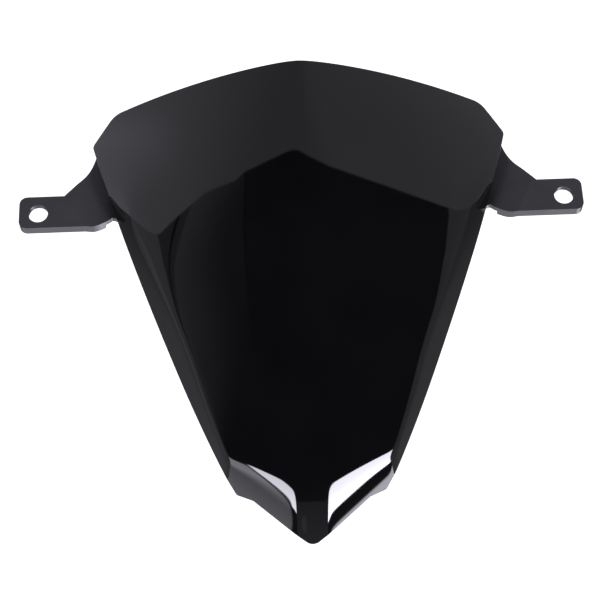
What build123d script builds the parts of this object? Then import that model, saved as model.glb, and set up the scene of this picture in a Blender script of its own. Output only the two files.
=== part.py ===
from build123d import *
import math
import os

# A motorcycle fly-screen: a moulded bubble with a pointed nose, carried by two bolt-on ears.
# Object frame, millimetres: X to the right, Y to the rear, Z up along the ear bolts.  The origin is
# midway between the two ear bolt holes, on the underside of the ears, where they seat.
#
# The panel is drawn in its own frame: x across, s up the screen and n out of its front.  That frame
# leans back by PANEL_RAKE, and its origin is on the top face of the ears.

# ---- driving dimensions ----------------------------------------------------------------------
PANEL_RAKE = 26.5           # degrees between the ears and the panel's own plane
WALL = 3.0                  # panel wall
BOLT_SPACING = 262.0        # between the ear holes
BOLT_HOLE_R = 4.85          # clearance for an M6 shouldered collar
PLATE = 3.0                 # bracket plate

# Outline of the panel, seen square to its own plane.
PEAK_S = 66.9               # highest point of the top edge
PEAK_FALL = 0.104           # straight part of the top edge's fall, each side of the peak
PEAK_BOW = 0.00107          # and its bow, per mm
PEAK_SOFTNESS = 8.0
TOP_CORNER_X = 92.3         # where the top edge turns down
SIDE_CORNER_S = 33.5        # widest point of the panel
SIDE_X_AT_ZERO = 93.4       # half width level with the ear holes
SIDE_LEAN = 0.325           # how the side edges close towards the nose
SIDE_BOW = 2.7e-6           # and their cubic bow
JAW_S = -145.0              # lower end of the side edges
CHIN = (29.6, -148.0)       # start of the straight nose edge
TIP_S = -174.4
TOP_CORNER_R = 13.0
SIDE_CORNER_R = 3.0
JAW_R = 2.5
TIP_R = 5.0

# Heights of the outer surface above the panel's own plane.
CREST_START = -124.0
CREST_N = 10.5              # crest height at CREST_START
CREST_SLOPE = 0.2325        # how the crest climbs from there
BUBBLE_R = 170.0            # the bubble's radius across
LIP_START_S = -4.0          # where the lip starts to roll back, on the centre line
LIP_CHEVRON = 0.43          # how that line falls away on each side
LIP_PEAK_SOFTNESS = 3.0     # rounding of that line's own peak
LIP_SOFTNESS = 6.0
LIP_R = 114.0               # the lip's roll radius
FLANK_SLOPE = 1.40          # rise of the flank per mm inward, level with the ear holes
FLANK_STEEPENING = 0.0042   # and how it gets steeper towards the nose, per mm
EDGE_LOW_N = -6.0           # height of the side edges near the nose
EDGE_EAR_N = 3.5            # and beside the ears
EDGE_RISE_FROM = -85.0      # where the edge starts to climb
EDGE_RISE_TO = -5.0
CHIN_N = -10.0              # nose edge height at the chin
TIP_N = -18.0               # and towards the tip
FACET_RISE = 1.35           # rise of a nose facet per mm inward, at the nose edge
FACET_BOW = 0.04            # how much less it rises with each mm inward
FACET_BOW_REACH = 22.0      # and where it stops bowing
RIDGE_HALF = 8.0            # half width of the flat ridge between the two facets
RIDGE_SOFTNESS = 1.5
BLEND_LOW = 1.0             # softness of the creases low down
BLEND_HIGH = 6.0            # and where the flanks fade into the lip
BLEND_FROM = -60.0          # where the creases start to soften
BLEND_TO = 20.0
GRID = 3.0                  # spacing of the points that define the surface
SURFACE_MARGIN = 6.0        # how far those points reach past the outline
SURFACE_TOLERANCE = 0.05
SLOPE_STEP = 0.5            # distance over which a surface's slope is taken
PRISM_FROM = -70.0          # the dome and its cavity are cut from blocks between these heights
PRISM_TO = 80.0
TOP_EDGE_SPACING = 15.0     # spacing of the points on the outline's curves
SIDE_EDGE_SPACING = 30.0

# Brackets, right-hand side.
FOLD_ANGLE = 64.0           # direction of both folds, from the X axis
FOLD_X = 111.0              # the outer fold, level with the hole
LEAF_X = 80.0               # the inner fold
GUSSET_DROP = 17.0          # degrees that the gusset dips
LEAF_RISE = 59.0            # degrees of the leaf from the horizontal
FOLD_R = 4.0                # radius of the top face at both folds
EAR_END_X = 140.5
EAR_FRONT_Y = -8.1
EAR_REAR_Y = 9.6
EAR_CORNER_R = 4.0
GUSSET_FRONT_CURVE = [(106.0, EAR_FRONT_Y), (99.5, -5.6), (94.5, -1.2)]
GUSSET_REAR_CURVE = [(118.2, EAR_REAR_Y), (112.3, 17.2), (108.6, 22.0), (105.4, 28.4), (103.4, 35.5)]
GUSSET_CORNER_R = 1.5
INNER_FOLD_FROM = -14.0     # ends of the gusset along the inner fold
INNER_FOLD_TO = 36.0
RIM_END_X = 98.0            # the front rim runs out here
RIM_ZONE_DEPTH = 8.0        # the front rim's strip is no deeper than this
RIM_DEPTH = 2.5             # the rim hangs this far below the plate
RIM_WIDTH = 2.0
LEAF_LENGTH = 44.0
LEAF_HEIGHT = 17.0
LEAF_SHIFT = -8.0           # leaf centre along the fold, from the point level with the outer fold
LEAF_STUB = 6.0             # part of the leaf that the folded strip makes itself
LEAF_START = 3.5            # the leaf's lower edge, above the fold
STRIP_REACH = 60.0          # the strip is longer than the bracket before it is cut out
CUT_FROM = -30.0            # and is cut out between these heights
CUT_TO = 30.0
LEAF_CORNER_R = 4.0
SCREW_PITCH = 24.0
SCREW_HEIGHT = 12.0         # screws above the fold, on the leaf
LEAF_HOLE_R = 2.3

# Locating peg and foam strips behind the nose.
PEG_S = -118.0
PEG_R = 4.0
PEG_LENGTH = 24.0
DAMPER_R = 7.0
DAMPER_LENGTH = 10.0
DAMPER_LIP_R = 8.5
DAMPER_LIP = 2.0
STRIP_LENGTH = 20.0
STRIP_WIDTH = 5.0
STRIP_THICKNESS = 3.0
STRIP_CORNER_R = 2.0
STRIP_INSET = 6.5           # strip centre, in from the nose edge
STRIP_GLUE = 0.55
STRIP_PLACE = 0.30          # strip centre, as a share of the nose edge from the chin

# Fasteners and rubber.
PAD_THICKNESS = 3.0
PAD_LENGTH = 38.0
PAD_HEIGHT = 13.0
PAD_CORNER_R = 4.3
BOSS_R = 5.0
BOSS_HOLE_R = 2.8
BOSS_REACH = 30.0           # long enough to run into the wall anywhere
INSERT_LENGTH = 6.0
INSERT_BORE_R = 1.65
GROOVE_FROM = 2.4           # the groove between an insert's knurled bands
GROOVE_WIDTH = 1.2
GROOVE_DEPTH = 0.4
THREAD_R = 1.65
WASHER_R = 4.5
WASHER_THICKNESS = 0.8
WASHER_HOLE_R = 2.15
SHANK_R = 2.0
HEAD_R = 3.8
HEAD_HEIGHT = 2.2
HEAD_ROUND = 1.54           # rounding of the button head
THREAD_GAP = 0.5            # the thread ends this far short of the insert's end
SOCKET_ACROSS = 2.5
SOCKET_DEPTH = 1.3


def soft_abs(value, softness):
    """The size of a number, rounded off near zero."""
    return math.sqrt(value * value + softness * softness) - softness


def soft_min(values, blend):
    """The lowest of some heights, with rounded creases between them."""
    lowest = min(values)
    total = sum(math.exp((lowest - value) / blend) for value in values)
    return lowest - blend * math.log(total)


def soft_step(value, start, end):
    """0 before start, 1 after end, smooth between."""
    t = min(1.0, max(0.0, (value - start) / (end - start)))
    return t * t * (3.0 - 2.0 * t)


def soft_ramp(value, softness):
    """0 before zero, then value, rounded where it starts."""
    return 0.5 * (value + math.sqrt(value * value + softness * softness))


def side_edge(s):
    """Half width of the panel between the jaw and the side corner."""
    return SIDE_X_AT_ZERO + SIDE_LEAN * s + SIDE_BOW * s ** 3


def top_edge(x):
    return PEAK_S - PEAK_FALL * soft_abs(x, PEAK_SOFTNESS) - PEAK_BOW * x * x


def bubble_height(x, s):
    lip_start = LIP_START_S - LIP_CHEVRON * soft_abs(x, LIP_PEAK_SOFTNESS)
    roll = soft_ramp(s - lip_start, LIP_SOFTNESS)
    crest = CREST_N + CREST_SLOPE * (s - CREST_START)
    return crest - x * x / (2.0 * BUBBLE_R) - roll * roll / (2.0 * LIP_R)


def flank_height(x, s):
    edge = EDGE_LOW_N + (EDGE_EAR_N - EDGE_LOW_N) * soft_step(s, EDGE_RISE_FROM, EDGE_RISE_TO)
    slope = FLANK_SLOPE - FLANK_STEEPENING * s
    return edge + slope * (side_edge(s) - abs(x))


def facet_height(x, s):
    """A nose facet rises inward from the straight nose edge, less steeply the further in."""
    run_x, run_s = -CHIN[0], TIP_S - CHIN[1]
    length = math.hypot(run_x, run_s)
    off_ridge = RIDGE_HALF + soft_ramp(abs(x) - RIDGE_HALF, RIDGE_SOFTNESS)
    from_x, from_s = off_ridge - CHIN[0], s - CHIN[1]
    along = (from_x * run_x + from_s * run_s) / length
    inward = (from_x * run_s - from_s * run_x) / length
    bowed = max(0.0, min(inward, FACET_BOW_REACH))
    bow = FACET_BOW * bowed * (inward - bowed / 2.0)
    return CHIN_N + (TIP_N - CHIN_N) * along / length + FACET_RISE * inward - bow


def outer_height(x, s):
    blend = BLEND_LOW + (BLEND_HIGH - BLEND_LOW) * soft_step(s, BLEND_FROM, BLEND_TO)
    return soft_min([bubble_height(x, s), flank_height(x, s), facet_height(x, s)], blend)


# ---- panel -----------------------------------------------------------------------------------
PANEL_PLANE = Plane(
    origin=(0, 0, PLATE),
    x_dir=(1, 0, 0),
    z_dir=(0, -math.sin(math.radians(PANEL_RAKE)), math.cos(math.radians(PANEL_RAKE))),
)


def steps(start, end, spacing):
    """Evenly spaced numbers from start to end, both included."""
    count = math.ceil(abs(end - start) / spacing)
    return [start + (end - start) * i / count for i in range(count + 1)]


def flip(points):
    """The same points on the left-hand side."""
    return [(-x, s) for x, s in points]


def outline_face():
    """The panel's outline, seen square to its plane."""
    half_top = [(x, top_edge(x)) for x in steps(0.0, TOP_CORNER_X, TOP_EDGE_SPACING)]
    half_side = [(side_edge(s), s) for s in steps(SIDE_CORNER_S, JAW_S, SIDE_EDGE_SPACING)]
    tip = (0.0, TIP_S)
    edges = [Spline(flip(half_top[::-1])[:-1] + half_top)]
    for side in (half_side, flip(half_side)):
        mirror = 1 if side is half_side else -1
        top_corner = (mirror * half_top[-1][0], half_top[-1][1])
        chin = (mirror * CHIN[0], CHIN[1])
        edges += [Line(top_corner, side[0]), Spline(side), Line(side[-1], chin), Line(chin, tip)]
    face = make_face(edges)
    corners = [half_top[-1], half_side[0], half_side[-1], tip]
    for corner, radius in zip(corners, [TOP_CORNER_R, SIDE_CORNER_R, JAW_R, TIP_R]):
        for x, s in {corner, (-corner[0], corner[1])}:
            near = [v for v in face.vertices() if (Vector(v) - Vector(x, s)).length < 0.01]
            face = fillet(near, radius)
    return face


def slopes(height, x, s):
    """How a surface's height changes with x and with s."""
    per_x = (height(x + SLOPE_STEP, s) - height(x - SLOPE_STEP, s)) / (2 * SLOPE_STEP)
    per_s = (height(x, s + SLOPE_STEP) - height(x, s - SLOPE_STEP)) / (2 * SLOPE_STEP)
    return per_x, per_s


def inner_height(x, s):
    """The inner surface, one wall below the outer one."""
    per_x, per_s = slopes(outer_height, x, s)
    return outer_height(x, s) - WALL * math.sqrt(1.0 + per_x ** 2 + per_s ** 2)


def block_under(height, outline):
    """A tall block with this outline, cut off at a surface."""
    reach = side_edge(SIDE_CORNER_S) + SURFACE_MARGIN
    rows = steps(TIP_S - SURFACE_MARGIN, PEAK_S + SURFACE_MARGIN, GRID)
    columns = steps(-reach, reach, GRID)
    grid = [[(x, s, height(x, s)) for x in columns] for s in rows]
    surface = Face.make_surface_from_array_of_points(grid, tol=SURFACE_TOLERANCE)
    block = Pos(0, 0, PRISM_FROM) * extrude(outline, amount=PRISM_TO - PRISM_FROM)
    return split(block, bisect_by=surface, keep=Keep.TOP)


def wall_and_cavity():
    """The solid dome, and the space inside it, both in the object frame."""
    outline = outline_face()
    dome = block_under(outer_height, outline)
    cavity = block_under(inner_height, offset(outline, amount=SURFACE_MARGIN / 2))
    return PANEL_PLANE.location * dome, PANEL_PLANE.location * cavity


# ---- brackets --------------------------------------------------------------------------------
FOLD_DIRECTION = Vector(math.cos(math.radians(FOLD_ANGLE)), math.sin(math.radians(FOLD_ANGLE)), 0)
OUTBOARD = Vector(FOLD_DIRECTION.Y, -FOLD_DIRECTION.X, 0)
UP = Vector(0, 0, 1)
GUSSET_RUN = (FOLD_X - LEAF_X) * FOLD_DIRECTION.Y
GUSSET_FALL = GUSSET_RUN * math.tan(math.radians(GUSSET_DROP))
LEAF_RISE_DIRECTION = (
    OUTBOARD * -math.cos(math.radians(LEAF_RISE)) + UP * math.sin(math.radians(LEAF_RISE))
)
LEAF_NORMAL = FOLD_DIRECTION.cross(LEAF_RISE_DIRECTION)
# Middle of the inner fold, before it is rounded, on the leaf's outboard face.
LEAF_FOOT = (
    Vector(FOLD_X, 0, PLATE)
    - OUTBOARD * GUSSET_RUN
    - UP * GUSSET_FALL
    + FOLD_DIRECTION * LEAF_SHIFT
)
LEAF_PLANE = Plane(origin=LEAF_FOOT, x_dir=FOLD_DIRECTION, z_dir=LEAF_NORMAL)
SCREW_PLACES = {"front": -SCREW_PITCH / 2, "rear": SCREW_PITCH / 2}


def folded_sheet(thickness):
    """Tab, gusset and the foot of the leaf as one long folded strip under the bracket's top face."""
    corner = Vector(-GUSSET_RUN, -GUSSET_FALL)
    leaf_end = corner + Vector(LEAF_RISE_DIRECTION.dot(OUTBOARD), LEAF_RISE_DIRECTION.Z) * LEAF_STUB
    top = FilletPolyline((STRIP_REACH, 0), (0, 0), corner, leaf_end, radius=FOLD_R)
    strip = make_face(offset(top, amount=thickness, side=Side.LEFT))
    section = Plane(origin=(FOLD_X, 0, PLATE), x_dir=OUTBOARD, z_dir=FOLD_DIRECTION * -1)
    return extrude(section.location * strip, amount=STRIP_REACH, both=True)


def ear_outline():
    """Outline of tab and gusset from above, right-hand side."""
    inner_front, inner_rear = (
        Vector(LEAF_X, 0) + FOLD_DIRECTION * along - OUTBOARD * LEAF_STUB
        for along in (INNER_FOLD_FROM, INNER_FOLD_TO)
    )
    front, rear = GUSSET_FRONT_CURVE, GUSSET_REAR_CURVE
    edges = [
        Line(front[0], (EAR_END_X, EAR_FRONT_Y)),
        Line((EAR_END_X, EAR_FRONT_Y), (EAR_END_X, EAR_REAR_Y)),
        Line((EAR_END_X, EAR_REAR_Y), rear[0]),
        Spline(rear, tangents=[(-0.7, 0.7), (-0.25, 0.97)]),
        Line(rear[-1], inner_rear),
        Line(inner_rear, inner_front),
        Line(inner_front, front[-1]),
        Spline(front, tangents=[(-1, 0), (-0.6, 0.8)]),
    ]
    face = make_face(edges)
    end = [v for v in face.vertices() if v.X > EAR_END_X - 0.01]
    face = fillet(end, EAR_CORNER_R)
    notch = [v for v in face.vertices() if (Vector(v) - Vector(*front[-1])).length < 0.01]
    return fillet(notch, GUSSET_CORNER_R)


def rim_outline():
    """The rim hangs from the front edge and the outer end only."""
    outline = ear_outline()
    band = outline - Pos(-RIM_WIDTH, RIM_WIDTH) * outline
    ear_middle = (EAR_FRONT_Y + EAR_REAR_Y) / 2
    front_zone = Pos(RIM_END_X, EAR_FRONT_Y + RIM_ZONE_DEPTH) * Rectangle(
        STRIP_REACH, 2 * RIM_ZONE_DEPTH, align=(Align.MIN, Align.MAX)
    )
    end_zone = Pos(EAR_END_X, ear_middle) * Rectangle(2 * EAR_CORNER_R, EAR_REAR_Y - EAR_FRONT_Y)
    return band & (front_zone + end_zone)


def cutter(outline):
    """A tall block with this outline, to cut a bracket's shape out of the folded sheet."""
    return Pos(0, 0, CUT_FROM) * extrude(outline, amount=CUT_TO - CUT_FROM)


def build_bracket():
    """The right-hand bracket."""
    plate = folded_sheet(PLATE) & cutter(ear_outline())
    rim = folded_sheet(PLATE + RIM_DEPTH) & cutter(rim_outline())
    leaf_outline = RectangleRounded(LEAF_LENGTH, LEAF_HEIGHT, LEAF_CORNER_R)
    leaf_face = Pos(0, LEAF_START + LEAF_HEIGHT / 2) * leaf_outline
    for x in SCREW_PLACES.values():
        leaf_face -= Pos(x, SCREW_HEIGHT) * Circle(LEAF_HOLE_R)
    leaf = extrude(LEAF_PLANE.location * leaf_face, amount=-PLATE)
    hole = cutter(Pos(BOLT_SPACING / 2, 0) * Circle(BOLT_HOLE_R))
    return plate + rim + leaf - hole


# ---- pieces between a bracket and the panel, right-hand side ------------------------------------
def screw_plane(place, depth):
    """A plane on a screw's axis, facing the panel, this far from the leaf's outboard face."""
    foot = LEAF_FOOT + FOLD_DIRECTION * SCREW_PLACES[place] + LEAF_RISE_DIRECTION * SCREW_HEIGHT
    return Plane(origin=foot + LEAF_NORMAL * depth, x_dir=FOLD_DIRECTION, z_dir=LEAF_NORMAL)


def rod(plane, radius, length):
    """A round bar standing on a plane."""
    return plane.location * Cylinder(radius, length, align=(Align.CENTER, Align.CENTER, Align.MIN))


def build_pad():
    """Rubber strip between the leaf and the two bosses."""
    face = Pos(0, SCREW_HEIGHT) * RectangleRounded(PAD_LENGTH, PAD_HEIGHT, PAD_CORNER_R)
    for x in SCREW_PLACES.values():
        face -= Pos(x, SCREW_HEIGHT) * Circle(LEAF_HOLE_R)
    return extrude(LEAF_PLANE.location * face, amount=PAD_THICKNESS)


def build_insert(place):
    """Brass insert sunk in a boss, with two knurled bands and a groove between them."""
    foot = screw_plane(place, PAD_THICKNESS)
    groove = screw_plane(place, PAD_THICKNESS + GROOVE_FROM)
    ring = rod(groove, BOSS_HOLE_R, GROOVE_WIDTH) - rod(groove, BOSS_HOLE_R - GROOVE_DEPTH, GROOVE_WIDTH)
    return rod(foot, BOSS_HOLE_R, INSERT_LENGTH) - rod(foot, INSERT_BORE_R, INSERT_LENGTH) - ring


def build_washer(place):
    foot = screw_plane(place, -PLATE - WASHER_THICKNESS)
    return rod(foot, WASHER_R, WASHER_THICKNESS) - rod(foot, WASHER_HOLE_R, WASHER_THICKNESS)


def build_screw(place):
    """Button-head screw: plain shank through the leaf and pad, threaded length in the insert."""
    shank_length = WASHER_THICKNESS + PLATE + PAD_THICKNESS
    head = rod(Plane.XY, HEAD_R, HEAD_HEIGHT)
    head = fillet(head.edges().group_by(Axis.Z)[0], HEAD_ROUND)
    shank = rod(Plane.XY.offset(HEAD_HEIGHT), SHANK_R, shank_length)
    thread = rod(Plane.XY.offset(HEAD_HEIGHT + shank_length), THREAD_R, INSERT_LENGTH - THREAD_GAP)
    socket = extrude(RegularPolygon(SOCKET_ACROSS / math.sqrt(3), 6), amount=SOCKET_DEPTH)
    screw = head + shank + thread - socket
    return screw_plane(place, -PLATE - WASHER_THICKNESS - HEAD_HEIGHT).location * screw


# ---- nose ------------------------------------------------------------------------------------
def panel_point(x, s, n):
    return PANEL_PLANE.from_local_coords(Vector(x, s, n))


PEG_TOP = panel_point(0, PEG_S, inner_height(0, PEG_S))
PEG_END = Plane(origin=PEG_TOP - UP * PEG_LENGTH)


def build_damper():
    """Rubber sleeve on the lower end of the peg, with a lip at its top."""
    sleeve = rod(PEG_END, DAMPER_R, DAMPER_LENGTH)
    lip = rod(PEG_END.offset(DAMPER_LENGTH - DAMPER_LIP), DAMPER_LIP_R, DAMPER_LIP)
    return sleeve + lip - rod(PEG_END, PEG_R, DAMPER_LENGTH)


def build_nose_strip():
    """Foam strip on the inside of the right-hand nose facet, along its lower edge."""
    run_x, run_s = -CHIN[0], TIP_S - CHIN[1]
    length = math.hypot(run_x, run_s)
    x = CHIN[0] + run_x * STRIP_PLACE + STRIP_INSET * run_s / length
    s = CHIN[1] + run_s * STRIP_PLACE - STRIP_INSET * run_x / length
    per_x, per_s = slopes(inner_height, x, s)
    seat = Plane(
        origin=(x, s, inner_height(x, s) - STRIP_GLUE),
        x_dir=(run_x, run_s, run_x * per_x + run_s * per_s),
        z_dir=(per_x, per_s, -1),
    )
    face = RectangleRounded(STRIP_LENGTH, STRIP_WIDTH, STRIP_CORNER_R)
    strip = extrude(seat.location * face, amount=STRIP_THICKNESS)
    return PANEL_PLANE.location * strip


# ---- panel with its bosses and peg ---------------------------------------------------------------
def build_panel():
    dome, cavity = wall_and_cavity()
    for place in SCREW_PLACES:
        boss = rod(screw_plane(place, PAD_THICKNESS), BOSS_R, BOSS_REACH)
        boss -= rod(screw_plane(place, PAD_THICKNESS), BOSS_HOLE_R, INSERT_LENGTH)
        cavity -= boss
        cavity -= mirror(boss, about=Plane.YZ)
    cavity -= rod(PEG_END, PEG_R, PEG_LENGTH + WALL)
    return dome - cavity


def main():
    os.makedirs("parts", exist_ok=True)
    right = {"bracket": build_bracket(), "isolator_pad": build_pad(), "nose_strip": build_nose_strip()}
    for place in SCREW_PLACES:
        right[place + "_insert"] = build_insert(place)
        right[place + "_washer"] = build_washer(place)
        right[place + "_screw"] = build_screw(place)
    pieces = {"screen_panel": build_panel(), "nose_damper": build_damper()}
    for name, piece in right.items():
        pieces["right_" + name] = piece
        pieces["left_" + name] = mirror(piece, about=Plane.YZ)
    for name, piece in pieces.items():
        export_step(piece, "parts/" + name + ".step")


main()
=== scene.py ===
import math

import bmesh
import bpy
import numpy as np
from mathutils import Matrix, Vector


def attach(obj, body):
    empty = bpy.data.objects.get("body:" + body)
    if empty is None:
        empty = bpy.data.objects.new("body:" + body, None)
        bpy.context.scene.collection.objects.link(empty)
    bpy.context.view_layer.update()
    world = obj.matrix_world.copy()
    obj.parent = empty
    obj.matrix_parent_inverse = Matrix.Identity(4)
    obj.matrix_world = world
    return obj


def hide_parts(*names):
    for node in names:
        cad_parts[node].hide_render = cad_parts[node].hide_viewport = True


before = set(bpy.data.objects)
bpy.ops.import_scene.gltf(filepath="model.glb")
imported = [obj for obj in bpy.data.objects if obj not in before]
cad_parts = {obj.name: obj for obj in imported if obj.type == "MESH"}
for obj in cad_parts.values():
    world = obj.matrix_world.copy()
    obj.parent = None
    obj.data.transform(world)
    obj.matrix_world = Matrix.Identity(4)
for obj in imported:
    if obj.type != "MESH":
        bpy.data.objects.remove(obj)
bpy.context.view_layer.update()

# A motorcycle fly-screen, in metres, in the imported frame: X right, Y rear, Z up along the ear bolts.
# The panel's own frame (x across, s up the screen, n out of its front) leans back by PANEL_RAKE and
# starts on the top face of the ears.  Its sizes and its surface repeat the CAD part's, in millimetres.

MM = 0.001
PANEL_RAKE = math.radians(26.5)
WALL = 3.0
PLATE = 3.0

# ---- outline of the panel, millimetres ----------------------------------------------------------
PEAK_S = 66.9
PEAK_FALL = 0.104
PEAK_BOW = 0.00107
PEAK_SOFTNESS = 8.0
TOP_CORNER_X = 92.3
SIDE_CORNER_S = 33.5
SIDE_X_AT_ZERO = 93.4
SIDE_LEAN = 0.325
SIDE_BOW = 2.7e-6
JAW_S = -145.0
CHIN = (29.6, -148.0)
TIP_S = -174.4
TOP_CORNER_R = 13.0
SIDE_CORNER_R = 3.0
JAW_R = 2.5
TIP_R = 5.0
EDGE_R = 0.9                # the rim's two rounded edges

# ---- outer surface of the panel -----------------------------------------------------------------
CREST_START = -124.0
CREST_N = 10.5
CREST_SLOPE = 0.2325
BUBBLE_R = 170.0
LIP_START_S = -4.0
LIP_CHEVRON = 0.43
LIP_PEAK_SOFTNESS = 3.0
LIP_SOFTNESS = 6.0
LIP_R = 114.0
FLANK_SLOPE = 1.40
FLANK_STEEPENING = 0.0042
EDGE_LOW_N = -6.0
EDGE_EAR_N = 3.5
EDGE_RISE_FROM = -85.0
EDGE_RISE_TO = -5.0
CHIN_N = -10.0
TIP_N = -18.0
FACET_RISE = 1.35
FACET_BOW = 0.04
FACET_BOW_REACH = 22.0
RIDGE_HALF = 8.0
RIDGE_SOFTNESS = 1.5
BLEND_LOW = 1.0
BLEND_HIGH = 6.0
BLEND_FROM_S = -60.0
BLEND_TO_S = 20.0

# ---- mesh of the panel --------------------------------------------------------------------------
CELLS_ACROSS = 180
CELLS_UP = 240
ROUND_STEPS = 4             # faces across a rounded edge
ARC_STEPS = 24              # points on each rounded corner of the outline
TOP_POINTS = 60             # points on the outline's top and side curves
SIDE_POINTS = 80
CURVE_GAP = 0.2             # a curve's points keep this far from a rounded corner

# ---- bosses and peg behind the panel --------------------------------------------------------------
FOLD_ANGLE = math.radians(64.0)
FOLD_X = 111.0
LEAF_X = 80.0
GUSSET_DROP = math.radians(17.0)
LEAF_RISE = math.radians(59.0)
LEAF_SHIFT = -8.0
SCREW_PITCH = 24.0
SCREW_HEIGHT = 12.0
PAD_THICKNESS = 3.0
BOSS_R = 5.0
BOSS_HOLE_R = 2.8
BOSS_HOLE_DEPTH = 6.0
PEG_S = -118.0
PEG_R = 4.0
PEG_LENGTH = 24.0
ROOT_FLARE = 1.2            # fillet where a boss or the peg grows out of the wall
ROOT_STEPS = 5              # faces up that fillet
ROOT_HEIGHT = 2.4           # height of that fillet
SUNK = 0.5                  # depth in the wall that posts are measured to, as a share of the wall
ROOT_GAP = 0.5              # a post's last ring lies this far short of that depth
POST_EDGE = 0.4             # rounded rim of a post's free end
CENTRE_R = 0.02             # smallest ring in the middle of a closed end
AROUND = 64                 # points round a post
POST_LIMIT = 60.0           # a post is never longer than this
HALVINGS = 40               # steps of the search for the wall
POST_SHARP = 40.0           # edges of a post sharper than this stay sharp, degrees

# ---- camera, millimetres, and floor ---------------------------------------------------------------
LENS = 96.41
SENSOR = 36.0
CAMERA_DISTANCE = 800.0
CAMERA_YAW = math.radians(0.86)
CAMERA_ROLL = math.radians(2.084)
CAMERA_TARGET = (-2.54, -47.57, 0.0)    # in the panel's own frame
FLOOR_Z = -0.45             # height of the floor, metres
FLOOR_HALF = 6.0            # half its width, metres


# ==== the surface ==================================================================================
def soft_abs(value, softness):
    """The size of a number, rounded off near zero."""
    return np.sqrt(value * value + softness * softness) - softness


def soft_min(values, blend):
    """The lowest of some heights, with rounded creases between them."""
    lowest = np.minimum.reduce(values)
    total = sum(np.exp((lowest - value) / blend) for value in values)
    return lowest - blend * np.log(total)


def soft_step(value, start, end):
    """0 before start, 1 after end, smooth between."""
    t = np.clip((value - start) / (end - start), 0.0, 1.0)
    return t * t * (3.0 - 2.0 * t)


def soft_ramp(value, softness):
    """0 before zero, then value, rounded where it starts."""
    return 0.5 * (value + np.sqrt(value * value + softness * softness))


def side_edge(s):
    return SIDE_X_AT_ZERO + SIDE_LEAN * s + SIDE_BOW * s ** 3


def top_edge(x):
    return PEAK_S - PEAK_FALL * soft_abs(x, PEAK_SOFTNESS) - PEAK_BOW * x * x


def bubble_height(x, s):
    lip_start = LIP_START_S - LIP_CHEVRON * soft_abs(x, LIP_PEAK_SOFTNESS)
    roll = soft_ramp(s - lip_start, LIP_SOFTNESS)
    crest = CREST_N + CREST_SLOPE * (s - CREST_START)
    return crest - x * x / (2.0 * BUBBLE_R) - roll * roll / (2.0 * LIP_R)


def flank_height(x, s):
    edge = EDGE_LOW_N + (EDGE_EAR_N - EDGE_LOW_N) * soft_step(s, EDGE_RISE_FROM, EDGE_RISE_TO)
    return edge + (FLANK_SLOPE - FLANK_STEEPENING * s) * (side_edge(s) - np.abs(x))


def facet_height(x, s):
    """A nose facet rises inward from the straight nose edge, less steeply the further in."""
    run_x, run_s = -CHIN[0], TIP_S - CHIN[1]
    length = math.hypot(run_x, run_s)
    off_ridge = RIDGE_HALF + soft_ramp(np.abs(x) - RIDGE_HALF, RIDGE_SOFTNESS)
    from_x, from_s = off_ridge - CHIN[0], s - CHIN[1]
    along = (from_x * run_x + from_s * run_s) / length
    inward = (from_x * run_s - from_s * run_x) / length
    bowed = np.clip(inward, 0.0, FACET_BOW_REACH)
    bow = FACET_BOW * bowed * (inward - bowed / 2.0)
    return CHIN_N + (TIP_N - CHIN_N) * along / length + FACET_RISE * inward - bow


def outer_height(x, s):
    blend = BLEND_LOW + (BLEND_HIGH - BLEND_LOW) * soft_step(s, BLEND_FROM_S, BLEND_TO_S)
    return soft_min([bubble_height(x, s), flank_height(x, s), facet_height(x, s)], blend)


def slopes(height, x, s, step=0.05):
    """How a height changes across and up the panel."""
    per_x = (height(x + step, s) - height(x - step, s)) / (2.0 * step)
    per_s = (height(x, s + step) - height(x, s - step)) / (2.0 * step)
    return per_x, per_s


def inner_height(x, s):
    per_x, per_s = slopes(outer_height, x, s, 0.5)
    return outer_height(x, s) - WALL * np.sqrt(1.0 + per_x ** 2 + per_s ** 2)


def surface_normals(height, x, s):
    per_x, per_s = slopes(height, x, s)
    normals = np.stack([-per_x, -per_s, np.ones_like(per_x)], axis=-1)
    return normals / np.linalg.norm(normals, axis=-1, keepdims=True)


def turned(vectors):
    """Directions in the panel's frame, as directions in the object's frame."""
    x, s, n = vectors[..., 0], vectors[..., 1], vectors[..., 2]
    cosine, sine = math.cos(PANEL_RAKE), math.sin(PANEL_RAKE)
    return np.stack([x, s * cosine - n * sine, s * sine + n * cosine], axis=-1)


def placed(points):
    """Points in the panel's frame, millimetres, as points in the object's frame, metres."""
    return (turned(points) + np.array([0.0, 0.0, PLATE])) * MM


def unplaced(points):
    """The other way round: object frame, millimetres, to panel frame."""
    x, y, z = points[..., 0], points[..., 1], points[..., 2] - PLATE
    cosine, sine = math.cos(PANEL_RAKE), math.sin(PANEL_RAKE)
    return np.stack([x, y * cosine + z * sine, z * cosine - y * sine], axis=-1)


# ==== the outline ==================================================================================
def unit(vector):
    return vector / np.linalg.norm(vector)


def corner_arc(before, corner, after, radius):
    """Points on the arc that rounds a corner, from the side of before to the side of after."""
    back, ahead = unit(before - corner), unit(after - corner)
    half_angle = 0.5 * math.acos(float(np.clip(back @ ahead, -1.0, 1.0)))
    centre = corner + unit(back + ahead) * radius / math.sin(half_angle)
    reach = radius / math.tan(half_angle)
    spokes = [corner + back * reach - centre, corner + ahead * reach - centre]
    angles = [math.atan2(spoke[1], spoke[0]) for spoke in spokes]
    sweep = (angles[1] - angles[0] + math.pi) % (2.0 * math.pi) - math.pi
    turns = angles[0] + sweep * np.linspace(0.0, 1.0, ARC_STEPS + 1)
    return centre + radius * np.stack([np.cos(turns), np.sin(turns)], axis=-1)


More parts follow.
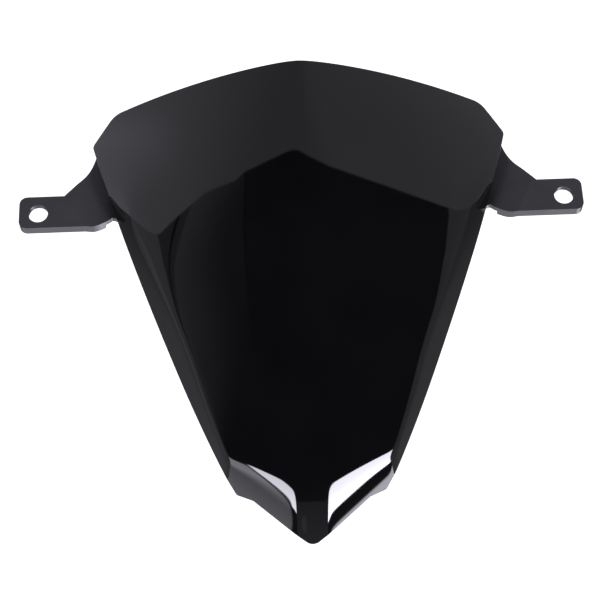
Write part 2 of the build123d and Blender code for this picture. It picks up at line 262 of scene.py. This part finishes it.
def away_from(points, corners, distance):
    """The points that are further than this from every corner."""
    return [p for p in points if all(np.linalg.norm(p - c) > distance for c in corners)]


def mirrored(points):
    """The same points on the other side."""
    return points * np.array([-1.0, 1.0])


def half_outline():
    """Right-hand half of the outline from peak to tip, and the places where the patch corners lie."""
    across = np.linspace(0.0, TOP_CORNER_X, TOP_POINTS)
    down = np.linspace(SIDE_CORNER_S, JAW_S, SIDE_POINTS)
    top = [np.array([x, top_edge(x)]) for x in across]
    side = [np.array([side_edge(s), s]) for s in down]
    chin, tip = np.array(CHIN), np.array([0.0, TIP_S])
    top_arc = corner_arc(top[-2], top[-1], side[0], TOP_CORNER_R)
    side_arc = corner_arc(top[-1], side[0], side[1], SIDE_CORNER_R)
    jaw_arc = corner_arc(side[-2], side[-1], chin, JAW_R)
    tip_arc = corner_arc(chin, tip, mirrored(chin), TIP_R)[: ARC_STEPS // 2 + 1]
    reach = np.linalg.norm(top_arc[0] - top[-1])
    top = away_from(top, [top[-1]], reach + CURVE_GAP)
    reach = max(np.linalg.norm(side_arc[-1] - side[0]), np.linalg.norm(jaw_arc[0] - side[-1]))
    side = away_from(side, [side[0], side[-1]], reach + CURVE_GAP)
    run = np.array(top + list(top_arc) + list(side_arc) + side + list(jaw_arc) + [chin] + list(tip_arc))
    side_corner = len(top) + len(top_arc) + ARC_STEPS // 2
    jaw = len(top) + len(top_arc) + len(side_arc) + len(side) + ARC_STEPS // 2
    return run, side_corner, jaw


def resampled(points, count):
    """The same line with its points evenly spaced."""
    lengths = np.concatenate([[0.0], np.cumsum(np.linalg.norm(np.diff(points, axis=0), axis=1))])
    even = np.linspace(0.0, lengths[-1], count + 1)
    return np.stack([np.interp(even, lengths, points[:, axis]) for axis in (0, 1)], axis=-1)


def patch_edges():
    """Bottom, top, left and right edge of the four-sided patch that fills the outline."""
    run, side_corner, jaw = half_outline()
    nose, lip = run[jaw:], run[: side_corner + 1]
    bottom = np.concatenate([mirrored(nose), nose[::-1][1:]])
    top = np.concatenate([mirrored(lip[::-1]), lip[1:]])
    right = run[side_corner: jaw + 1][::-1]
    left = mirrored(right)
    return [resampled(edge, count) for edge, count in (
        (bottom, CELLS_ACROSS), (top, CELLS_ACROSS), (left, CELLS_UP), (right, CELLS_UP))]


def filled(bottom, top, left, right):
    """A grid of points between four edges that meet at the corners."""
    u = np.linspace(0.0, 1.0, len(bottom))[None, :, None]
    v = np.linspace(0.0, 1.0, len(left))[:, None, None]
    ruled = (1 - v) * bottom[None] + v * top[None] + (1 - u) * left[:, None] + u * right[:, None]
    corners = (
        (1 - u) * (1 - v) * bottom[0] + u * (1 - v) * bottom[-1]
        + (1 - u) * v * top[0] + u * v * top[-1]
    )
    return ruled - corners


def loop_of(grid):
    """The grid's border, once round."""
    return np.concatenate([grid[0, :-1], grid[:-1, -1], grid[-1, :0:-1], grid[:0:-1, 0]])


def edges_from(loop):
    """A border loop cut back into the patch's four edges."""
    a, b = CELLS_ACROSS, CELLS_UP
    closed = np.concatenate([loop, loop[:1]])
    bottom, right = closed[: a + 1], closed[a: a + b + 1]
    top, left = closed[a + b: 2 * a + b + 1][::-1], closed[2 * a + b:][::-1]
    return bottom, top, left, right


# ==== meshes =======================================================================================
def grid_faces(rows, columns, start=0, flipped=False):
    """Quads over a grid of points stored row by row."""
    index = start + np.arange(rows * columns).reshape(rows, columns)
    faces = np.stack([index[:-1, :-1], index[:-1, 1:], index[1:, 1:], index[1:, :-1]], axis=-1)
    faces = faces.reshape(-1, 4)
    return faces[:, ::-1] if flipped else faces


def new_piece(name, points, faces, normals, slot, material, *nodes):
    """A mesh piece from points in metres that rides on the root and stands for some CAD nodes."""
    mesh = bpy.data.meshes.new(name)
    mesh.from_pydata(points.tolist(), [], [list(map(int, face)) for face in faces])
    mesh.validate()
    mesh.shade_smooth()
    if normals is not None:
        mesh.normals_split_custom_set_from_vertices(normals.tolist())
    mesh.materials.append(material)
    piece = bpy.data.objects.new(name, mesh)
    bpy.context.scene.collection.objects.link(piece)
    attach(piece, "root")
    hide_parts(*nodes)
    return piece


def build_panel_shell(material):
    """The moulded shell: outer skin, inner skin and the rounded rim between them."""
    edges = patch_edges()
    outline = loop_of(filled(*edges))
    ahead, behind = np.roll(outline, -1, axis=0), np.roll(outline, 1, axis=0)
    tangent = (ahead - behind) / np.linalg.norm(ahead - behind, axis=1, keepdims=True)
    outward = np.stack([tangent[:, 1], -tangent[:, 0]], axis=-1)

    normal = surface_normals(outer_height, outline[:, 0], outline[:, 1])
    lean = np.clip((normal[:, :2] * outward).sum(axis=1), -1.0, 1.0)
    inset = outline - outward * (EDGE_R * (1.0 - lean))[:, None]
    normal = surface_normals(outer_height, inset[:, 0], inset[:, 1])
    rim_top = np.column_stack([inset, outer_height(inset[:, 0], inset[:, 1])])
    per_x, per_s = slopes(outer_height, inset[:, 0], inset[:, 1])
    side = np.column_stack([outward, per_x * outward[:, 0] + per_s * outward[:, 1]])
    side /= np.linalg.norm(side, axis=1, keepdims=True)

    outer_plan = filled(*edges_from(inset))
    outer = np.dstack([outer_plan, outer_height(outer_plan[..., 0], outer_plan[..., 1])])
    outer_normals = surface_normals(outer_height, outer_plan[..., 0], outer_plan[..., 1])

    rim_bottom = rim_top - WALL * normal
    inner_plan = filled(*edges_from(rim_bottom[:, :2]))
    inner = np.dstack([inner_plan, inner_height(inner_plan[..., 0], inner_plan[..., 1])])
    inner_normals = -surface_normals(inner_height, inner_plan[..., 0], inner_plan[..., 1])
    inner[0, :, 2], inner[-1, :, 2], inner[:, 0, 2], inner[:, -1, 2] = (
        edge[:, 0] for edge in edges_from(rim_bottom[:, 2:]))

    # The rim: a rounded edge, a narrow flat and a second rounded edge.
    rings, ring_normals = [], []
    for centre_depth, first in ((EDGE_R, 0.0), (WALL - EDGE_R, 0.5 * math.pi)):
        for turn in np.linspace(first, first + 0.5 * math.pi, ROUND_STEPS + 1):
            spoke = math.cos(turn) * normal + math.sin(turn) * side
            rings.append(rim_top - centre_depth * normal + EDGE_R * spoke)
            ring_normals.append(spoke)
    rings, ring_normals = np.array(rings[1:-1]), np.array(ring_normals[1:-1])

    rows, columns = outer_plan.shape[:2]
    count = rows * columns
    around = len(outline)
    points = np.concatenate([part.reshape(-1, 3) for part in (outer, inner, rings)])
    normals = np.concatenate([part.reshape(-1, 3) for part in (outer_normals, inner_normals, ring_normals)])
    faces = [grid_faces(rows, columns), grid_faces(rows, columns, count, flipped=True)]
    border = loop_of(np.arange(count).reshape(rows, columns)[..., None])[:, 0]
    levels = [border]
    levels += [2 * count + around * i + np.arange(around) for i in range(len(rings))]
    levels.append(border + count)
    for upper, lower in zip(levels[:-1], levels[1:]):
        faces.append(np.stack([upper, lower, np.roll(lower, -1), np.roll(upper, -1)], axis=-1))
    faces = np.concatenate(faces)
    return new_piece(
        "panel_shell", placed(points), faces, turned(normals), "gloss_panel", material, "screen_panel"
    )


# ==== bosses and peg ===============================================================================
FOLD = np.array([math.cos(FOLD_ANGLE), math.sin(FOLD_ANGLE), 0.0])
OUTBOARD = np.array([FOLD[1], -FOLD[0], 0.0])
UP = np.array([0.0, 0.0, 1.0])
LEAF_UP = -math.cos(LEAF_RISE) * OUTBOARD + math.sin(LEAF_RISE) * UP
LEAF_NORMAL = np.cross(FOLD, LEAF_UP)
GUSSET_RUN = (FOLD_X - LEAF_X) * FOLD[1]
LEAF_FOOT = (
    np.array([FOLD_X, 0.0, PLATE]) - OUTBOARD * GUSSET_RUN
    - UP * GUSSET_RUN * math.tan(GUSSET_DROP) + FOLD * LEAF_SHIFT
)
RING_START = FOLD + 0.3 * UP    # a post's rings start square to this; no post runs along it


def distance_to_wall(points, direction):
    """How far each point can go along a direction before it is part way into the panel's wall."""
    near, far = np.zeros(len(points)), np.full(len(points), POST_LIMIT)
    depth = WALL * (1.0 - SUNK)
    for _ in range(HALVINGS):
        middle = 0.5 * (near + far)
        local = unplaced(points + middle[:, None] * direction)
        wall = outer_height(local[:, 0], local[:, 1])
        per_x, per_s = slopes(outer_height, local[:, 0], local[:, 1])
        inside = local[:, 2] > wall - depth * np.sqrt(1.0 + per_x ** 2 + per_s ** 2)
        far = np.where(inside, middle, far)
        near = np.where(inside, near, middle)
    return near


def build_post(name, foot, direction, radius, hole_radius, hole_depth, material, mirror):
    """A round post from its free end to the wall, with a rounded rim, a root fillet and often a bore."""
    side = unit(np.cross(direction, RING_START))
    other = np.cross(direction, side)
    turns = np.linspace(0.0, 2.0 * math.pi, AROUND, endpoint=False)
    ring = np.cos(turns)[:, None] * side + np.sin(turns)[:, None] * other
    if hole_radius:
        bore = foot + ring * hole_radius
        rings = [bore + direction * hole_depth, bore + direction * POST_EDGE]
        rings.append(foot + ring * (hole_radius + POST_EDGE))
    else:
        rings = [foot + ring * CENTRE_R, foot + ring * (radius / 2.0)]
    for turn in np.linspace(0.0, 0.5 * math.pi, ROUND_STEPS + 1):
        spread = radius - POST_EDGE * (1.0 - math.sin(turn))
        rings.append(foot + ring * spread + direction * POST_EDGE * (1.0 - math.cos(turn)))
    for turn in np.linspace(0.0, 0.5 * math.pi, ROOT_STEPS + 1):
        spread = radius + ROOT_FLARE * (1.0 - math.cos(turn))
        back = (1.0 - math.sin(turn)) * ROOT_HEIGHT + ROOT_GAP
        wall = distance_to_wall(foot + ring * spread, direction)
        rings.append(foot + ring * spread + direction * (wall - back)[:, None])
    points = np.concatenate(rings)
    if mirror:
        points = points * np.array([-1.0, 1.0, 1.0])
    faces = []
    for level in range(len(rings) - 1):
        lower = level * AROUND + np.arange(AROUND)
        upper = lower + AROUND
        faces.append(np.stack([lower, np.roll(lower, -1), np.roll(upper, -1), upper], axis=-1))
    end_cap = list(range(AROUND))[::-1]
    faces = np.concatenate(faces).tolist() + [end_cap]
    if mirror:
        faces = [face[::-1] for face in faces]
    piece = new_piece(name, points * MM, faces, None, "gloss_panel", material, "screen_panel")
    piece.data.set_sharp_from_angle(angle=math.radians(POST_SHARP))
    return piece


def build_posts(material):
    """Two blind bosses facing each bracket's leaf, and the locating peg behind the nose."""
    for side, mirror in (("right", False), ("left", True)):
        for place, along in (("front", -SCREW_PITCH / 2), ("rear", SCREW_PITCH / 2)):
            foot = LEAF_FOOT + FOLD * along + LEAF_UP * SCREW_HEIGHT + LEAF_NORMAL * PAD_THICKNESS
            name = "panel_boss_" + side + "_" + place
            build_post(name, foot, LEAF_NORMAL, BOSS_R, BOSS_HOLE_R, BOSS_HOLE_DEPTH, material, mirror)
    top = np.array([0.0, PEG_S, inner_height(0.0, PEG_S)])
    peg_end = placed(top) / MM - UP * PEG_LENGTH
    build_post("panel_peg", peg_end, UP, PEG_R, 0.0, 0.0, material, False)


# ==== pieces finished from the CAD shapes ==========================================================
SAME_POINT = 0.002          # points closer than this are one, millimetres
SAME_FLAT = 0.4             # faces that differ by less than this lie in one flat, degrees
BEVEL_SHARP = 28.0          # edges sharper than this are broken, degrees
BEVEL_STEPS = 3


def finished_copy(node, edge, material):
    """A CAD node's shape with its flats kept flat, and its edges broken where short edges leave room."""
    work = bmesh.new()
    work.from_mesh(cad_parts[node].data)
    bmesh.ops.remove_doubles(work, verts=work.verts, dist=SAME_POINT * MM)
    flat_enough = math.radians(SAME_FLAT)
    bmesh.ops.dissolve_limit(work, angle_limit=flat_enough, verts=work.verts, edges=work.edges)
    mesh = bpy.data.meshes.new(node + "_finished")
    work.to_mesh(mesh)
    work.free()
    mesh.shade_smooth()
    mesh.materials.clear()
    mesh.materials.append(material)
    piece = bpy.data.objects.new(node + "_finished", mesh)
    bpy.context.scene.collection.objects.link(piece)
    bevel = piece.modifiers.new("edges", "BEVEL")
    bevel.width = edge * MM
    bevel.segments = BEVEL_STEPS
    bevel.limit_method = "ANGLE"
    bevel.angle_limit = math.radians(BEVEL_SHARP)
    bevel.use_clamp_overlap = True
    bevel.harden_normals = True
    flat = piece.modifiers.new("flats", "WEIGHTED_NORMAL")
    flat.keep_sharp = True
    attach(piece, "root")
    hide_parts(node)
    return piece


# ==== materials ====================================================================================
class Shader:
    """A material's node tree, with short calls for the nodes used here."""

    def __init__(self, name):
        self.material = bpy.data.materials.new(name)
        self.material.use_nodes = True
        self.nodes = self.material.node_tree.nodes
        self.links = self.material.node_tree.links
        self.surface = self.nodes["Principled BSDF"]
        self.place = self.nodes.new("ShaderNodeTexCoord").outputs["Object"]

    def set(self, **values):
        """Numbers that are the same all over, put on the shader's own sockets."""
        for name, value in values.items():
            self.surface.inputs[name.replace("_", " ")].default_value = value

    def noise(self, scale, detail=4.0, stretch=(1.0, 1.0, 1.0), roughness=0.5):
        """Noise on the object's own coordinates; scale is the size of a patch, millimetres."""
        mapping = self.nodes.new("ShaderNodeMapping")
        mapping.inputs["Scale"].default_value = [value / (scale * MM) for value in stretch]
        self.links.new(self.place, mapping.inputs["Vector"])
        noise = self.nodes.new("ShaderNodeTexNoise")
        noise.inputs["Scale"].default_value = 1.0
        noise.inputs["Detail"].default_value = detail
        noise.inputs["Roughness"].default_value = roughness
        self.links.new(mapping.outputs["Vector"], noise.inputs["Vector"])
        return noise.outputs["Fac"]

    def between(self, factor, low, high, from_low=0.3, from_high=0.7):
        """A number that goes from low to high with a factor."""
        spread = self.nodes.new("ShaderNodeMapRange")
        ends = {"From Min": from_low, "From Max": from_high, "To Min": low, "To Max": high}
        for name, value in ends.items():
            spread.inputs[name].default_value = value
        self.links.new(factor, spread.inputs["Value"])
        return spread.outputs["Result"]

    def colours(self, factor, low, high, from_low=0.3, from_high=0.7):
        """Base colour from low to high with a factor."""
        ramp = self.nodes.new("ShaderNodeValToRGB")
        ramp.color_ramp.elements[0].position = from_low
        ramp.color_ramp.elements[1].position = from_high
        ramp.color_ramp.elements[0].color = (*low, 1.0)
        ramp.color_ramp.elements[1].color = (*high, 1.0)
        self.links.new(factor, ramp.inputs["Fac"])
        self.links.new(ramp.outputs["Color"], self.surface.inputs["Base Color"])

    def roughness(self, factor, low, high):
        self.links.new(self.between(factor, low, high), self.surface.inputs["Roughness"])

    def bump(self, heights, depth):
        """Bumps from (factor, share) pairs; depth is their full height, millimetres."""
        previous = None
        for factor, share in heights:
            bump = self.nodes.new("ShaderNodeBump")
            bump.inputs["Strength"].default_value = share
            bump.inputs["Distance"].default_value = depth * MM
            self.links.new(factor, bump.inputs["Height"])
            if previous is not None:
                self.links.new(previous, bump.inputs["Normal"])
            previous = bump.outputs["Normal"]
        self.links.new(previous, self.surface.inputs["Normal"])


def gloss_plastic():
    """Injection-moulded gloss black: deep, almost mirror-flat, with a long faint ripple."""
    shader = Shader("gloss_black_plastic")
    shader.set(IOR=1.53)
    shader.colours(shader.noise(35.0), (0.0022, 0.0022, 0.0026), (0.0034, 0.0034, 0.0038))
    shader.roughness(shader.noise(9.0, detail=6.0), 0.035, 0.06)
    shader.bump([(shader.noise(14.0, detail=1.0), 0.5), (shader.noise(2.2, detail=2.0), 0.06)], 0.012)
    return shader.material


def bracket_coat():
    """Satin black powder coat: a little greyer than the panel, with the coat's orange peel."""
    shader = Shader("black_powder_coat")
    shader.set(IOR=1.53)
    shader.colours(shader.noise(12.0), (0.054, 0.054, 0.057), (0.066, 0.066, 0.0695))
    shader.roughness(shader.noise(3.0, detail=6.0), 0.30, 0.40)
    shader.bump([(shader.noise(1.6, detail=2.0), 0.5)], 0.03)
    return shader.material


def rubber():
    """Matt black rubber with the fine grain of its mould and a little dust."""
    shader = Shader("moulded_rubber")
    shader.colours(shader.noise(6.0), (0.010, 0.010, 0.011), (0.022, 0.022, 0.023))
    shader.roughness(shader.noise(2.5), 0.62, 0.82)
    shader.bump([(shader.noise(0.35, detail=3.0), 0.6)], 0.05)
    return shader.material


def foam():
    """Closed-cell foam: dark, with small open pores."""
    shader = Shader("closed_cell_foam")
    pores = shader.noise(0.7, detail=5.0, roughness=0.7)
    shader.colours(pores, (0.006, 0.006, 0.007), (0.035, 0.035, 0.037), 0.42, 0.58)
    shader.roughness(shader.noise(4.0), 0.85, 0.97)
    shader.bump([(pores, 0.9)], 0.25)
    return shader.material


def brass():
    """Turned brass with fine tool marks and a little tarnish."""
    shader = Shader("turned_brass")
    shader.set(Metallic=1.0)
    shader.colours(shader.noise(2.0), (0.48, 0.31, 0.10), (0.68, 0.49, 0.20))
    shader.roughness(shader.noise(0.8, detail=6.0), 0.22, 0.38)
    shader.bump([(shader.noise(0.25, detail=2.0, stretch=(0.3, 0.3, 1.0)), 0.5)], 0.02)
    return shader.material


def black_zinc():
    """Steel with a black zinc finish, wearing a little where it is turned."""
    shader = Shader("black_zinc_steel")
    shader.set(Metallic=1.0)
    shader.colours(shader.noise(2.5, detail=6.0), (0.035, 0.036, 0.040), (0.085, 0.086, 0.092))
    shader.roughness(shader.noise(1.0, detail=6.0), 0.26, 0.42)
    shader.bump([(shader.noise(0.3, detail=2.0), 0.4)], 0.02)
    return shader.material


# ==== stage ========================================================================================
def build_camera():
    """A long lens looking square down on the panel, a little from its left."""
    back = np.array([-math.sin(CAMERA_YAW), 0.0, math.cos(CAMERA_YAW)])
    right = np.array([math.cos(CAMERA_YAW), 0.0, math.sin(CAMERA_YAW)])
    up = np.array([0.0, 1.0, 0.0])
    across = right * math.cos(CAMERA_ROLL) - up * math.sin(CAMERA_ROLL)
    upward = right * math.sin(CAMERA_ROLL) + up * math.cos(CAMERA_ROLL)
    place = placed(np.array(CAMERA_TARGET) + back * CAMERA_DISTANCE)
    axes = [Vector(turned(axis)) for axis in (across, upward, back)]
    data = bpy.data.cameras.new("camera")
    data.lens = LENS
    data.sensor_width = SENSOR
    data.clip_start = 0.01
    data.clip_end = 50.0
    camera = bpy.data.objects.new("camera", data)
    turn = Matrix(axes).transposed().to_4x4()
    camera.matrix_world = Matrix.Translation(Vector(place)) @ turn
    bpy.context.scene.collection.objects.link(camera)
    bpy.context.scene.camera = camera
    return camera


def build_floor():
    """A plain pale floor, bright enough to read as white paper."""
    mesh = bpy.data.meshes.new("floor")
    turns = [(-1, -1), (1, -1), (1, 1), (-1, 1)]
    corners = [(x * FLOOR_HALF, y * FLOOR_HALF, FLOOR_Z) for x, y in turns]
    mesh.from_pydata(corners, [], [(0, 1, 2, 3)])
    material = bpy.data.materials.new("white_paper")
    material.use_nodes = True
    surface = material.node_tree.nodes["Principled BSDF"]
    surface.inputs["Base Color"].default_value = (0.85, 0.85, 0.85, 1.0)
    surface.inputs["Roughness"].default_value = 0.9
    surface.inputs["Emission Color"].default_value = (1.0, 1.0, 1.0, 1.0)
    surface.inputs["Emission Strength"].default_value = 0.9
    mesh.materials.append(material)
    floor = bpy.data.objects.new("floor", mesh)
    floor.visible_glossy = False
    bpy.context.scene.collection.objects.link(floor)


# Edges of the studio's panels, as (angle, height) points in degrees.
BANK_EDGE = [
    (-61, -6), (-44, 7.4), (-33, 5.4), (-31, 7.6), (-14, 7.6),
    (21, 2.1), (35, 3.2), (49, 5.2), (68, 9.5),
]
RIGHT_CARD_EDGE = [(-46, 36), (-38, 50), (-29, 59), (-12.5, 63.5), (0, 66)]
LEFT_CARD_EDGE = [(-48, 36), (-40, 44), (-29, 56), (-8, 63), (5, 66)]
SCREEN_LEAN = 0.283         # how the grey screen's inner edge leans, degrees per degree of rise
SCREEN_SLANT = 0.485        # and how its lower edge slants, per degree of tilt


class Studio:
    """The light from every direction round the object, written as soft-edged panels.

    Three angles say where a direction points in the panel's own frame.  From straight out of the
    panel's front, rise turns up the screen and tilt turns to +x.  Swing is the lean towards +x out
    of the plane in which rise turns.
    """

    def __init__(self, base):
        world = bpy.data.worlds.new("studio")
        bpy.context.scene.world = world
        world.use_nodes = True
        self.nodes = world.node_tree.nodes
        self.links = world.node_tree.links
        self.background = self.nodes["Background"]
        place = self.nodes.new("ShaderNodeTexCoord").outputs["Generated"]
        lean = self.nodes.new("ShaderNodeMapping")
        lean.vector_type = "TEXTURE"
        lean.inputs["Rotation"].default_value = (PANEL_RAKE, 0.0, 0.0)
        self.links.new(place, lean.inputs["Vector"])
        parts = self.nodes.new("ShaderNodeSeparateXYZ")
        self.links.new(lean.outputs["Vector"], parts.inputs["Vector"])
        across, up_screen, out = parts.outputs
        flat = self.math("SQRT", self.math("ADD", self.math("MULTIPLY", up_screen, up_screen),
                                            self.math("MULTIPLY", out, out)))
        self.rise = self.math("ARCTAN2", up_screen, out)
        self.swing = self.math("ARCTAN2", across, flat)
        self.tilt = self.math("ARCTAN2", across, out)
        self.total = base

    def math(self, operation, first, second=None):
        node = self.nodes.new("ShaderNodeMath")
        node.operation = operation
        for socket, value in zip(node.inputs, (first, second)):
            if isinstance(value, bpy.types.NodeSocket):
                self.links.new(value, socket)
            elif value is not None:
                socket.default_value = value
        return node.outputs[0]

    def step(self, angle, start, end):
        """0 before start, 1 after end, both in degrees."""
        node = self.nodes.new("ShaderNodeMapRange")
        node.interpolation_type = "SMOOTHSTEP"
        node.inputs["From Min"].default_value = math.radians(start)
        node.inputs["From Max"].default_value = math.radians(end)
        self.links.new(angle, node.inputs["Value"])
        return node.outputs["Result"]

    def negative(self, angle):
        return self.math("MULTIPLY", angle, -1.0)

    def rest(self, window):
        """Open where a window is closed."""
        return self.math("SUBTRACT", 1.0, window)

    def line(self, angle, points):
        """A line through (angle, height) points in degrees, level beyond both ends."""
        height = math.radians(points[0][1])
        for (start, low), (end, high) in zip(points, points[1:]):
            node = self.nodes.new("ShaderNodeMapRange")
            node.inputs["From Min"].default_value = math.radians(start)
            node.inputs["From Max"].default_value = math.radians(end)
            node.inputs["To Max"].default_value = math.radians(high - low)
            self.links.new(angle, node.inputs["Value"])
            height = self.math("ADD", node.outputs["Result"], height)
        return height

    def between(self, angle, low, high, soft=2.0):
        """1 between two angles, 0 outside, with soft edges; degrees."""
        above = self.step(angle, low - soft / 2, low + soft / 2)
        beyond = self.step(angle, high - soft / 2, high + soft / 2)
        return self.math("SUBTRACT", above, beyond)

    def panel(self, radiance, *windows):
        """A bright panel, seen where all of its windows are open."""
        light = radiance
        for window in windows:
            light = self.math("MULTIPLY", window, light)
        self.total = self.math("ADD", light, self.total)

    def gap(self, *windows):
        """A black strip that hides the panels behind it."""
        hidden = 1.0
        for window in windows:
            hidden = self.math("MULTIPLY", window, hidden)
        self.total = self.math("MULTIPLY", self.total, self.math("SUBTRACT", 1.0, hidden))

    def finish(self, backdrop):
        """The camera sees a plain backdrop; everything else sees the panels."""
        seen = self.nodes.new("ShaderNodeLightPath").outputs["Is Camera Ray"]
        keep = self.math("MULTIPLY", self.total, self.math("SUBTRACT", 1.0, seen))
        strength = self.math("ADD", keep, self.math("MULTIPLY", seen, backdrop))
        self.background.inputs["Color"].default_value = (1.0, 0.985, 1.10, 1.0)
        self.links.new(strength, self.background.inputs["Strength"])


def build_studio():
    studio = Studio(0.022)
    swing, rise, tilt = studio.swing, studio.rise, studio.tilt
    left, left_tilt = studio.negative(swing), studio.negative(tilt)
    # Overhead and behind: a wide bank, brighter to both sides, with a kinked front edge.
    over_edge = studio.math("SUBTRACT", rise, studio.line(swing, BANK_EDGE))
    bank = studio.step(over_edge, -0.8, 0.8)
    below = studio.rest(bank)
    studio.panel(0.35, bank)
    studio.panel(0.28, bank, studio.step(left, 25.0, 62.0))
    studio.panel(0.25, bank, studio.step(left, 50.0, 60.0), studio.step(rise, 20.0, 90.0))
    studio.panel(0.10, bank, studio.between(swing, 20.0, 80.0, 20.0))
    # Both sides: grey cards below the bank, dimmer low down.
    right_edge = studio.math("SUBTRACT", swing, studio.line(rise, RIGHT_CARD_EDGE))
    left_edge = studio.math("SUBTRACT", left, studio.line(rise, LEFT_CARD_EDGE))
    right_card = studio.step(right_edge, -1.0, 1.0)
    left_card = studio.step(left_edge, -1.0, 1.0)
    high_up = studio.step(rise, -140.0, -95.0)
    studio.panel(0.15, below, right_card)
    studio.panel(0.12, below, right_card, high_up)
    studio.panel(0.20, below, left_card)
    studio.panel(0.16, below, left_card, high_up)
    studio.panel(0.15, below, studio.step(left, 52.0, 56.0), studio.between(rise, -135.0, -85.0, 10.0))
    # Left: a soft grey screen that fades towards the middle and stops at a sharp edge.
    inner_edge = studio.math("ADD", left_tilt, studio.math("MULTIPLY", rise, -SCREEN_LEAN))
    lower_edge = studio.math("ADD", rise, studio.math("MULTIPLY", left_tilt, SCREEN_SLANT))
    screen = studio.step(lower_edge, -19.5, -14.5)
    faded = studio.step(left_tilt, 25.0, 55.0)
    studio.panel(0.035, below, screen, studio.step(inner_edge, 27.3, 27.9))
    beside_card = studio.rest(left_card)
    inner_part = studio.step(tilt, -48.0, -47.0)
    outer_part = studio.step(left_tilt, 47.0, 48.0)
    studio.panel(0.27, below, screen, beside_card, inner_part, faded)
    studio.panel(0.09, below, screen, beside_card, outer_part)
    studio.gap(below, screen, studio.between(inner_edge, 27.6, 28.4, 0.5))
    studio.gap(below, screen, studio.between(left_tilt, 51.0, 52.3, 0.8))
    # Front right: a softbox, a black stand under it, then the bright floor.
    studio.panel(19.0, studio.between(swing, 13.5, 34.5, 2.0), studio.between(rise, -99.5, -47.0, 2.0))
    studio.panel(3.6, studio.between(swing, 19.0, 36.0, 2.0), studio.between(rise, -150.0, -115.0, 3.0))
    # Front left: a narrow softbox, and a grey board beside it that is brighter at its top.
    studio.panel(13.0, studio.between(swing, -23.3, -14.0, 1.2), studio.between(rise, -91.0, -47.0, 2.0))
    board = studio.between(swing, -36.0, -24.6, 1.0)
    studio.panel(0.85, board, studio.between(rise, -150.0, -52.0, 3.0))
    studio.panel(2.3, board, studio.between(rise, -100.0, -52.0, 3.0), studio.step(rise, -100.0, -74.0))
    # Front middle: a dim strip low down, and a brighter one for the ears' turned-down rims.
    studio.panel(0.13, studio.between(swing, -13.0, 13.0, 3.0), studio.between(rise, -150.0, -76.0, 4.0))
    studio.panel(1.1, studio.between(swing, -30.0, 30.0, 5.0), studio.between(rise, -136.0, -123.0, 3.0))
    studio.finish(1.0)


# ==== all of it ====================================================================================
def main():
    bpy.context.scene.view_settings.view_transform = "Standard"
    plastic, coat = gloss_plastic(), bracket_coat()
    black_rubber, black_foam, turned_brass, steel = rubber(), foam(), brass(), black_zinc()
    build_panel_shell(plastic)
    build_posts(plastic)
    finished_copy("nose_damper", 0.5, black_rubber)
    for side in ("left_", "right_"):
        finished_copy(side + "bracket", 0.8, coat)
        finished_copy(side + "isolator_pad", 0.4, black_rubber)
        strip = finished_copy(side + "nose_strip", 0.5, black_foam)
        for place in ("front_", "rear_"):
            finished_copy(side + place + "insert", 0.12, turned_brass)
            finished_copy(side + place + "washer", 0.12, steel)
            finished_copy(side + place + "screw", 0.12, steel)
    build_camera()
    build_floor()
    build_studio()


main()
